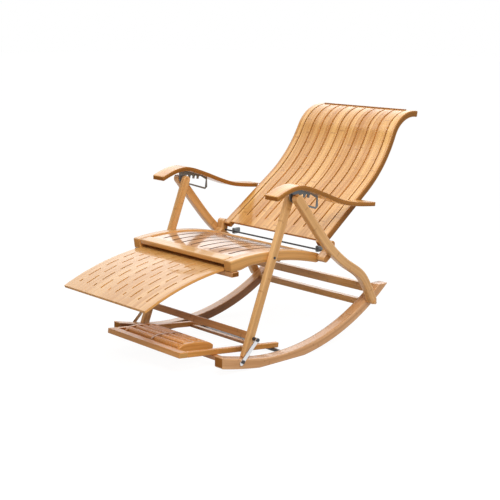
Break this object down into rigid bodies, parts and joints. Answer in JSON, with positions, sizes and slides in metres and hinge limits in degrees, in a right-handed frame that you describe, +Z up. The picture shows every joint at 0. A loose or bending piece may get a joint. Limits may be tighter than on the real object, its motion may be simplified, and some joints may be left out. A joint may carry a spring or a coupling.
{
  "type": "reclining rocking chair",
  "caption": "bamboo rocking chair with a reclining slatted back, notched armrest plates, a leg rest that slides out on an arc and a sliding foot-massage roller tray between the rockers",
  "frame": {"origin": "bottom centre of the whole box, on the floor midway between the rockers", "axes": "+Z up, -Y the way the sitter faces, +X the sitter's left, which is the near side in the picture"},
  "size_m": [0.62, 1.213, 0.77],
  "materials": {
    "bamboo": "clear gloss lacquer",
    "bamboo_under": "clear gloss lacquer",
    "steel": "satin",
    "black_steel": "satin"
  },
  "bodies": {
    "base": {"back_pivot_pin_left": "steel", "back_pivot_pin_right": "steel", "footrest_support_bar": "bamboo_under", "front_leg_left": "bamboo", "front_leg_right": "bamboo", "front_leg_stretcher": "bamboo_under", "hinge_block_left": "bamboo", "hinge_block_right": "bamboo", "leg_top_pin_left": "steel", "leg_top_pin_right": "steel", "link_rod": "steel", "link_stud_left": "steel", "link_stud_right": "steel", "rear_leg_bolt_left": "steel", "rear_leg_bolt_right": "steel", "rear_leg_left": "bamboo", "rear_leg_right": "bamboo", "rear_lower_rail": "bamboo_under", "rear_upper_rail": "bamboo_under", "rocker_front_rail": "bamboo_under", "rocker_left": "bamboo", "rocker_right": "bamboo", "seat_bolt_left": "black_steel", "seat_bolt_right": "black_steel", "seat_deck": "bamboo", "seat_front_rail": "bamboo", "seat_rail_left": "bamboo", "seat_rail_right": "bamboo", "seat_rod": "black_steel", "tray_rest_bar": "black_steel"},
    "back": {"armrest_bolt_left": "steel", "armrest_bolt_right": "steel", "back_panel": "bamboo", "back_stile_left": "bamboo", "back_stile_right": "bamboo", "back_top_batten": "bamboo_under"},
    "armrest_left": {"armrest_left": "bamboo", "notch_plate_left": "steel"},
    "armrest_right": {"armrest_right": "bamboo", "notch_plate_right": "steel"},
    "footrest": {"footrest_board": "bamboo"},
    "tray": {"roller_divider": "bamboo_under", "roller_end_plate_left": "bamboo", "roller_end_plate_right": "bamboo", "tray_front_bar": "bamboo", "tray_rail_left": "bamboo", "tray_rail_right": "bamboo", "tray_rear_bar": "bamboo_under"},
    "lock_link_left": {"lock_link_left": "steel"},
    "roller_left_1": {"roller_left_1": "bamboo_under"},
    "roller_left_2": {"roller_left_2": "bamboo_under"},
    "roller_left_3": {"roller_left_3": "bamboo_under"},
    "roller_left_4": {"roller_left_4": "bamboo_under"},
    "roller_left_5": {"roller_left_5": "bamboo_under"},
    "lock_link_right": {"lock_link_right": "steel"},
    "roller_right_1": {"roller_right_1": "bamboo_under"},
    "roller_right_2": {"roller_right_2": "bamboo_under"},
    "roller_right_3": {"roller_right_3": "bamboo_under"},
    "roller_right_4": {"roller_right_4": "bamboo_under"},
    "roller_right_5": {"roller_right_5": "bamboo_under"}
  },
  "joints": [
    {"name": "back_recline", "type": "hinge", "parent": "base", "child": "back", "pos_m": [0, 0.1185, 0.356], "axis": [1, 0, 0], "range_deg": [0, 27.8]},
    {"name": "armrest_left_turn", "type": "hinge", "parent": "back", "child": "armrest_left", "pos_m": [0.2506, 0.28108, 0.47589], "axis": [1, 0, 0], "range_deg": [-17.1, 0.2]},
    {"name": "armrest_right_turn", "type": "hinge", "parent": "back", "child": "armrest_right", "pos_m": [-0.2506, 0.28108, 0.47589], "axis": [1, 0, 0], "range_deg": [-17.1, 0.2]},
    {"name": "footrest_slide", "type": "hinge", "parent": "base", "child": "footrest", "pos_m": [0, -0.2135, -0.5914], "axis": [1, 0, 0], "range_deg": [-14, 0]},
    {"name": "tray_slide", "type": "slide", "parent": "base", "child": "tray", "axis": [0, 0.9934, -0.1149], "range_m": [0, 0.06]},
    {"name": "lock_link_left_turn", "type": "hinge", "parent": "base", "child": "lock_link_left", "pos_m": [0.2811, -0.22114, 0.09532], "axis": [1, 0, 0], "range_deg": [-60, 0]},
    {"name": "lock_link_right_turn", "type": "hinge", "parent": "base", "child": "lock_link_right", "pos_m": [-0.2811, -0.22114, 0.09532], "axis": [1, 0, 0], "range_deg": [-60, 0]},
    {"name": "roller_left_1_spin", "type": "hinge", "parent": "tray", "child": "roller_left_1", "pos_m": [0, -0.40333, 0.07011], "axis": [1, 0, 0], "continuous": true},
    {"name": "roller_left_2_spin", "type": "hinge", "parent": "tray", "child": "roller_left_2", "pos_m": [0, -0.37622, 0.07126], "axis": [1, 0, 0], "continuous": true},
    {"name": "roller_left_3_spin", "type": "hinge", "parent": "tray", "child": "roller_left_3", "pos_m": [0, -0.34957, 0.06846], "axis": [1, 0, 0], "continuous": true},
    {"name": "roller_left_4_spin", "type": "hinge", "parent": "tray", "child": "roller_left_4", "pos_m": [0, -0.32298, 0.0651], "axis": [1, 0, 0], "continuous": true},
    {"name": "roller_left_5_spin", "type": "hinge", "parent": "tray", "child": "roller_left_5", "pos_m": [0, -0.29684, 0.05779], "axis": [1, 0, 0], "continuous": true},
    {"name": "roller_right_1_spin", "type": "hinge", "parent": "tray", "child": "roller_right_1", "pos_m": [0, -0.40333, 0.07011], "axis": [1, 0, 0], "continuous": true},
    {"name": "roller_right_2_spin", "type": "hinge", "parent": "tray", "child": "roller_right_2", "pos_m": [0, -0.37622, 0.07126], "axis": [1, 0, 0], "continuous": true},
    {"name": "roller_right_3_spin", "type": "hinge", "parent": "tray", "child": "roller_right_3", "pos_m": [0, -0.34957, 0.06846], "axis": [1, 0, 0], "continuous": true},
    {"name": "roller_right_4_spin", "type": "hinge", "parent": "tray", "child": "roller_right_4", "pos_m": [0, -0.32298, 0.0651], "axis": [1, 0, 0], "continuous": true},
    {"name": "roller_right_5_spin", "type": "hinge", "parent": "tray", "child": "roller_right_5", "pos_m": [0, -0.29684, 0.05779], "axis": [1, 0, 0], "continuous": true}
  ],
  "couplings": [
    {"joint": "armrest_left_turn", "follows": "back_recline", "ratio": -0.613},
    {"joint": "armrest_right_turn", "follows": "back_recline", "ratio": -0.613}
  ]
}
